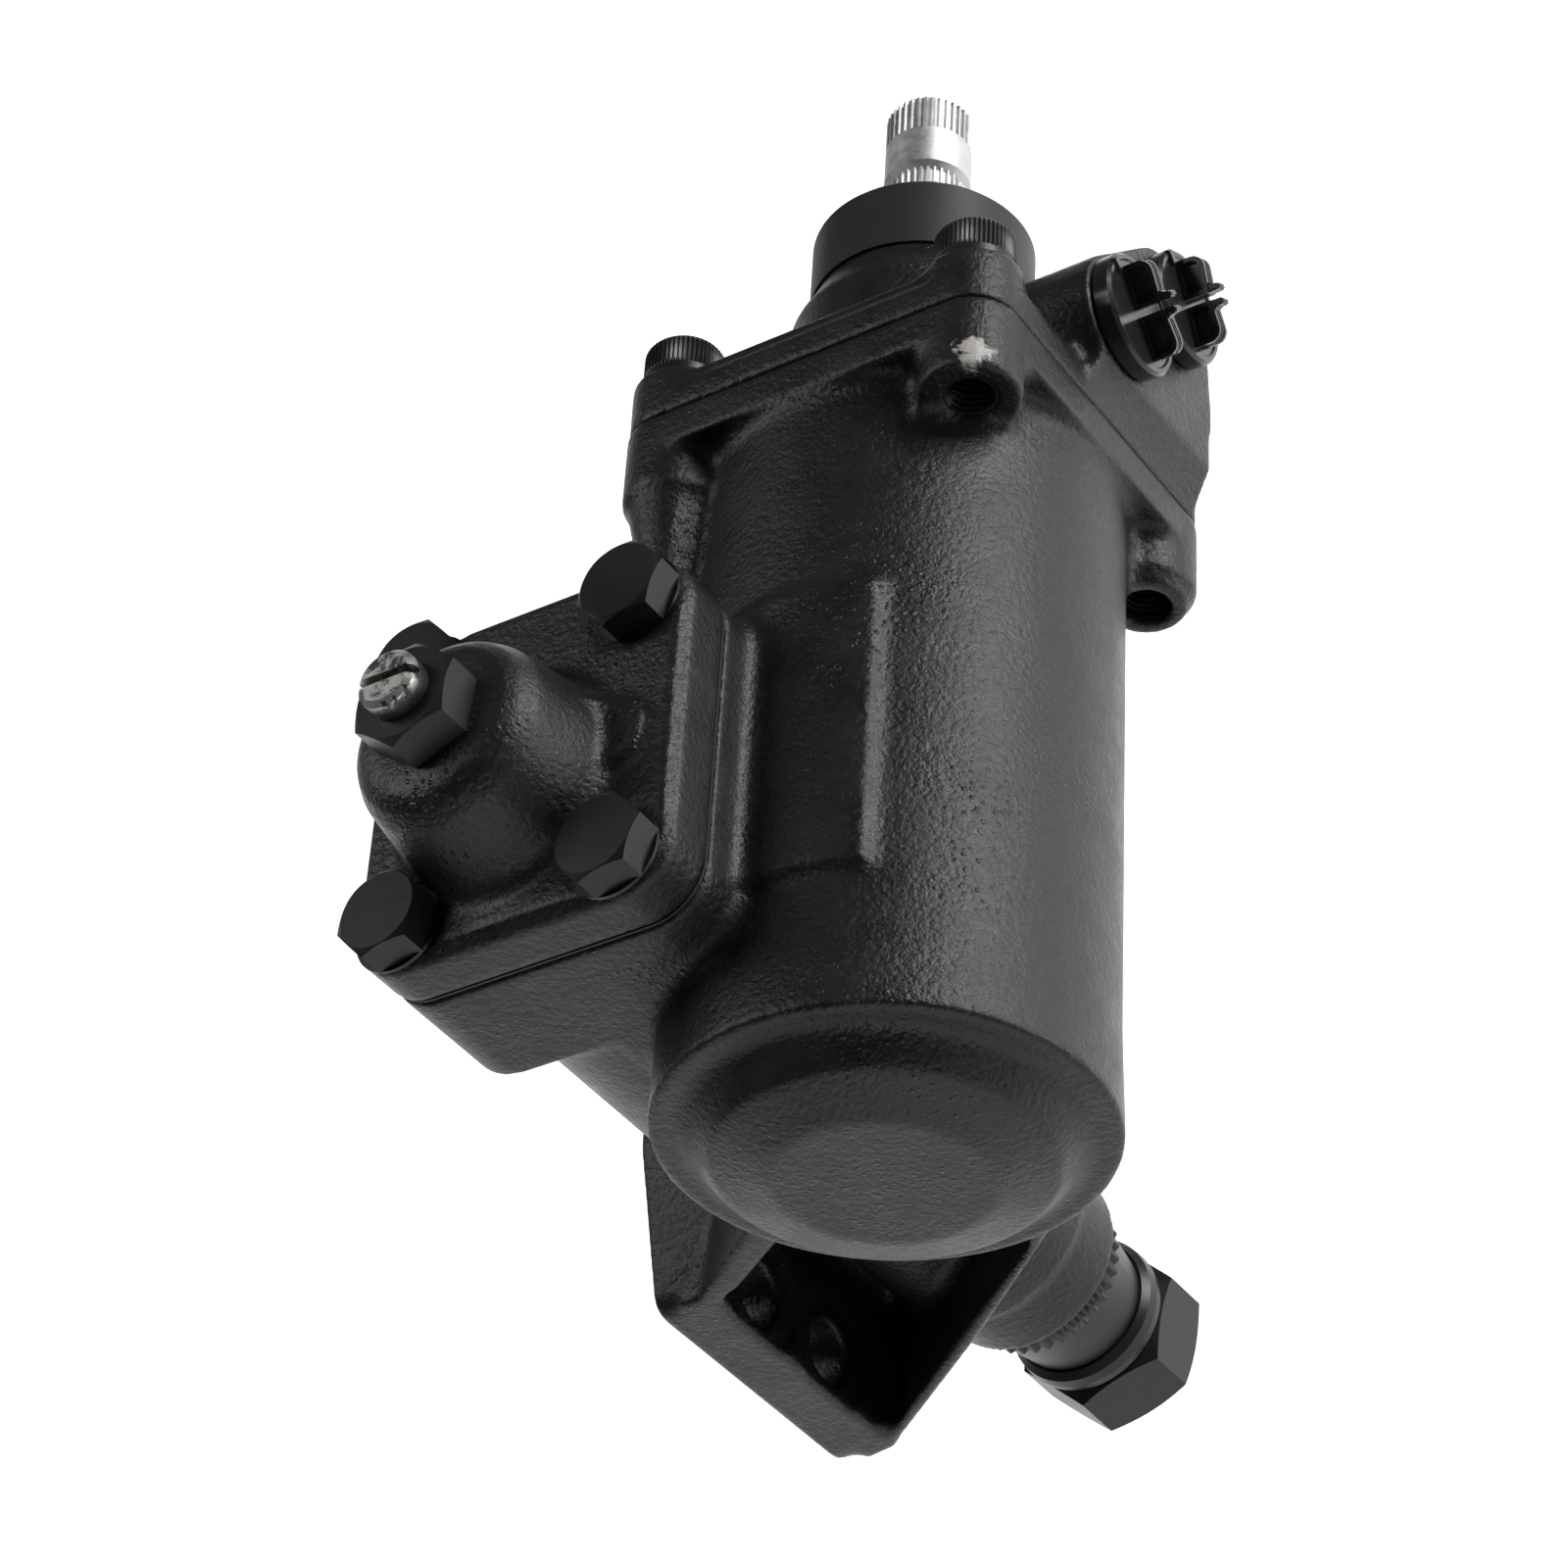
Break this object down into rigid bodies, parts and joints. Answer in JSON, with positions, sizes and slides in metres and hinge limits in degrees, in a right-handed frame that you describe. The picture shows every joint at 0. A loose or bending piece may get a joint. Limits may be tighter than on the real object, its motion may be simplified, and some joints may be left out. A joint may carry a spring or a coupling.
{
  "type": "worm gearbox",
  "caption": "Recirculating-ball worm steering gearbox: cast housing, side cover, splined input, valve housing with plugged ports, sector output with nut.",
  "frame": {"origin": "centre of the four frame mounting holes, on the machined mounting face", "axes": "+X from the mounting face towards the port side, +Y along the worm towards the input shaft, +Z towards the side cover; the sector output points to -Z"},
  "size_m": [0.1384, 0.2594, 0.2605],
  "materials": {
    "black_paint_cast": "satin",
    "black_plastic": "gloss",
    "cap_rubber": "satin",
    "bright_steel": "machined",
    "bearing_steel": "polished",
    "seal_rubber": "matte",
    "brass": "machined",
    "gasket": "matte"
  },
  "bodies": {
    "housing": {"gear_housing": "black_paint_cast", "side_cover": "black_paint_cast", "side_cover_gasket": "gasket", "side_cover_bolts": "black_paint_cast", "adjuster_screw": "bright_steel", "adjuster_locknut": "black_paint_cast", "valve_housing": "black_paint_cast", "valve_cap_screws": "black_paint_cast", "valve_housing_o_ring": "seal_rubber", "dust_cap": "cap_rubber", "input_seal": "seal_rubber", "input_bearing": "bearing_steel", "port_seats": "brass", "pressure_port_plug": "black_plastic", "return_port_plug": "black_plastic", "worm_bearing_outer_race": "bearing_steel", "worm_bearing_balls": "bearing_steel", "bearing_lock_ring": "bright_steel", "sector_bushing": "brass", "sector_bearing_cup": "bearing_steel", "sector_bearing_needles": "bearing_steel", "sector_seal": "seal_rubber", "sector_dust_seal": "seal_rubber"},
    "piston": {"rack_piston": "bright_steel", "piston_seal_ring": "seal_rubber", "recirculating_balls": "bearing_steel", "ball_guide_tube": "bright_steel", "ball_guide_clamp": "bright_steel", "ball_guide_screws": "bright_steel", "piston_end_plug": "bright_steel"},
    "worm": {"worm_shaft": "bright_steel", "worm_bearing_inner_race": "bearing_steel", "valve_sleeve": "bright_steel", "sleeve_seal_rings": "seal_rubber", "sleeve_drive_pin": "bright_steel"},
    "input": {"input_shaft": "bright_steel", "torsion_bar": "bright_steel", "torsion_bar_pin": "bright_steel"},
    "sector": {"sector_shaft": "black_paint_cast", "lock_washer": "black_paint_cast", "output_nut": "black_paint_cast"}
  },
  "joints": [
    {"name": "worm_turn", "type": "hinge", "parent": "housing", "child": "worm", "pos_m": [0.08, 0, 0.073], "axis": [0, 1, 0], "range_deg": [-686.5, 686.5]},
    {"name": "rack_slide", "type": "slide", "parent": "housing", "child": "piston", "axis": [0, 1, 0], "range_m": [-0.0143, 0.0143]},
    {"name": "sector_turn", "type": "hinge", "parent": "housing", "child": "sector", "pos_m": [0.039, 0, 0], "axis": [0, 0, 1], "range_deg": [-39.99, 39.99]},
    {"name": "valve_twist", "type": "hinge", "parent": "worm", "child": "input", "pos_m": [0.08, 0, 0.073], "axis": [0, 1, 0], "range_deg": [-4, 4], "stiffness_Nm_per_rad": 20}
  ],
  "couplings": [
    {"joint": "worm_turn", "follows": "rack_slide", "rad_per_m": -837.76},
    {"joint": "sector_turn", "follows": "rack_slide", "rad_per_m": 48.78}
  ]
}
